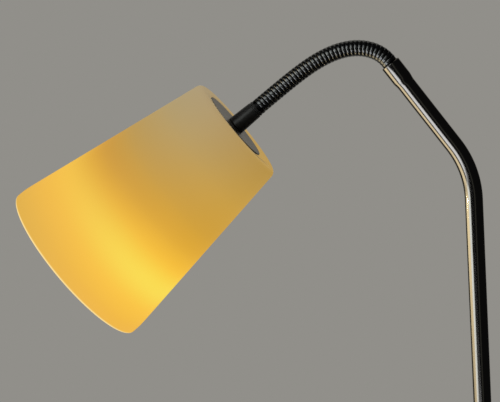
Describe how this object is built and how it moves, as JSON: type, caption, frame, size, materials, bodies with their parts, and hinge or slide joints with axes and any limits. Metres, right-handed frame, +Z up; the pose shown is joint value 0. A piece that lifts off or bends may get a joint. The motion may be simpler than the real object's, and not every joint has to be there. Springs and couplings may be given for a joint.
{
  "type": "floor lamp",
  "caption": "Floor lamp with a weighted round base, an upright pole bent at the top, a flexible neck and a tapered frosted glass shade over a screw-in bulb.",
  "frame": {"origin": "on the floor under the pole, at the centre of the base's floor pad", "axes": "+Z up along the pole, -X toward the side that the arm and the shade reach over, arm and neck in the XZ plane at rest"},
  "size_m": [0.5278, 0.25, 1.3519],
  "materials": {
    "satin_nickel": "satin dark nickel plate, fine brushed",
    "dark_nickel": "polished black nickel",
    "black_metal": "satin black",
    "zinc_steel": "bright zinc plate",
    "cast_iron": "rough cast, dull",
    "black_rubber": "matte",
    "lead_sheath": "smooth insulated lead",
    "frosted_amber_glass": "frosted translucent glass, lit from inside",
    "clear_silicone": "soft translucent",
    "holder_black": "moulded phenolic",
    "brass": "bright",
    "white_plastic": "satin",
    "opal_diffuser": "opal diffuser, lit"
  },
  "bodies": {
    "stand": {"floor_pad": "black_rubber", "base_weight": "cast_iron", "base_cover": "satin_nickel", "base_nut": "zinc_steel", "base_lock_washer": "zinc_steel", "base_washer": "zinc_steel", "base_nipple": "zinc_steel", "cord_bush": "black_rubber", "pole_collar": "satin_nickel", "pole_foot_plug": "zinc_steel", "lower_pole": "satin_nickel", "lower_coupler": "zinc_steel", "middle_pole": "satin_nickel", "upper_coupler": "zinc_steel", "upper_pole": "satin_nickel", "neck_socket_plug": "black_metal", "pole_lead": "lead_sheath", "neck_link_01": "dark_nickel"},
    "neck_02": {"neck_link_02": "dark_nickel"},
    "neck_03": {"neck_link_03": "dark_nickel"},
    "neck_04": {"neck_link_04": "dark_nickel"},
    "neck_05": {"neck_link_05": "dark_nickel"},
    "neck_06": {"neck_link_06": "dark_nickel"},
    "neck_07": {"neck_link_07": "dark_nickel"},
    "neck_08": {"neck_link_08": "dark_nickel"},
    "neck_09": {"neck_link_09": "dark_nickel"},
    "neck_10": {"neck_link_10": "dark_nickel"},
    "neck_11": {"neck_link_11": "dark_nickel"},
    "neck_12": {"neck_link_12": "dark_nickel"},
    "head": {"neck_link_13": "dark_nickel", "head_stem": "black_metal", "head_nipple": "zinc_steel", "cap_disc": "satin_nickel", "outer_gasket": "clear_silicone", "shade": "frosted_amber_glass", "inner_gasket": "clear_silicone", "shade_washer": "zinc_steel", "shade_nut": "zinc_steel", "holder_cap": "holder_black", "holder_body": "holder_black", "holder_shell": "brass", "holder_contacts": "brass", "terminal_block": "white_plastic", "terminal_screws": "zinc_steel", "head_lead": "lead_sheath"},
    "bulb": {"bulb_screw_cap": "zinc_steel", "bulb_base_contact": "holder_black", "bulb_housing": "white_plastic", "bulb_led_board": "white_plastic", "bulb_dome": "opal_diffuser"}
  },
  "joints": [
    {"name": "lower_neck_bend", "type": "hinge", "parent": "stand", "child": "neck_02", "pos_m": [-0.07404, 0, 1.33751], "axis": [0, 1, 0], "range_deg": [-6, 14]},
    {"name": "lower_neck_sway", "type": "hinge", "parent": "neck_02", "child": "neck_03", "pos_m": [-0.08313, 0, 1.34243], "axis": [0.3365, 0, 0.9417], "range_deg": [-12, 12]},
    {"name": "lower_neck_bend_2", "type": "hinge", "parent": "neck_03", "child": "neck_04", "pos_m": [-0.09326, 0, 1.34458], "axis": [0, 1, 0], "range_deg": [-6, 14]},
    {"name": "lower_neck_sway_2", "type": "hinge", "parent": "neck_04", "child": "neck_05", "pos_m": [-0.10362, 0, 1.34431], "axis": [-0.1263, 0, 0.992], "range_deg": [-12, 12]},
    {"name": "lower_neck_bend_3", "type": "hinge", "parent": "neck_05", "child": "neck_06", "pos_m": [-0.11376, 0, 1.34212], "axis": [0, 1, 0], "range_deg": [-6, 14]},
    {"name": "lower_neck_sway_3", "type": "hinge", "parent": "neck_06", "child": "neck_07", "pos_m": [-0.12349, 0, 1.3385], "axis": [-0.4038, 0, 0.9148], "range_deg": [-12, 12]},
    {"name": "upper_neck_bend", "type": "hinge", "parent": "neck_07", "child": "neck_08", "pos_m": [-0.13278, 0, 1.33386], "axis": [0, 1, 0], "range_deg": [-12, 12]},
    {"name": "upper_neck_sway", "type": "hinge", "parent": "neck_08", "child": "neck_09", "pos_m": [-0.14169, 0, 1.32853], "axis": [-0.5377, 0, 0.8431], "range_deg": [-12, 12]},
    {"name": "upper_neck_bend_2", "type": "hinge", "parent": "neck_09", "child": "neck_10", "pos_m": [-0.15032, 0, 1.32276], "axis": [0, 1, 0], "range_deg": [-12, 12]},
    {"name": "upper_neck_sway_2", "type": "hinge", "parent": "neck_10", "child": "neck_11", "pos_m": [-0.15879, 0, 1.31675], "axis": [-0.5866, 0, 0.8099], "range_deg": [-12, 12]},
    {"name": "upper_neck_bend_3", "type": "hinge", "parent": "neck_11", "child": "neck_12", "pos_m": [-0.16717, 0, 1.31062], "axis": [0, 1, 0], "range_deg": [-12, 12]},
    {"name": "upper_neck_sway_3", "type": "hinge", "parent": "neck_12", "child": "head", "pos_m": [-0.17552, 0, 1.30444], "axis": [-0.5948, 0, 0.8039], "range_deg": [-12, 12]},
    {"name": "bulb_out", "type": "slide", "parent": "head", "child": "bulb", "axis": [-0.8039, 0, -0.5948], "range_m": [0, 0.03]}
  ],
  "couplings": [
    {"joint": "lower_neck_bend_2", "follows": "lower_neck_bend", "ratio": 1},
    {"joint": "lower_neck_sway_2", "follows": "lower_neck_sway", "ratio": 1},
    {"joint": "lower_neck_bend_3", "follows": "lower_neck_bend", "ratio": 1},
    {"joint": "lower_neck_sway_3", "follows": "lower_neck_sway", "ratio": 1},
    {"joint": "upper_neck_bend_2", "follows": "upper_neck_bend", "ratio": 1},
    {"joint": "upper_neck_sway_2", "follows": "upper_neck_sway", "ratio": 1},
    {"joint": "upper_neck_bend_3", "follows": "upper_neck_bend", "ratio": 1},
    {"joint": "upper_neck_sway_3", "follows": "upper_neck_sway", "ratio": 1}
  ]
}
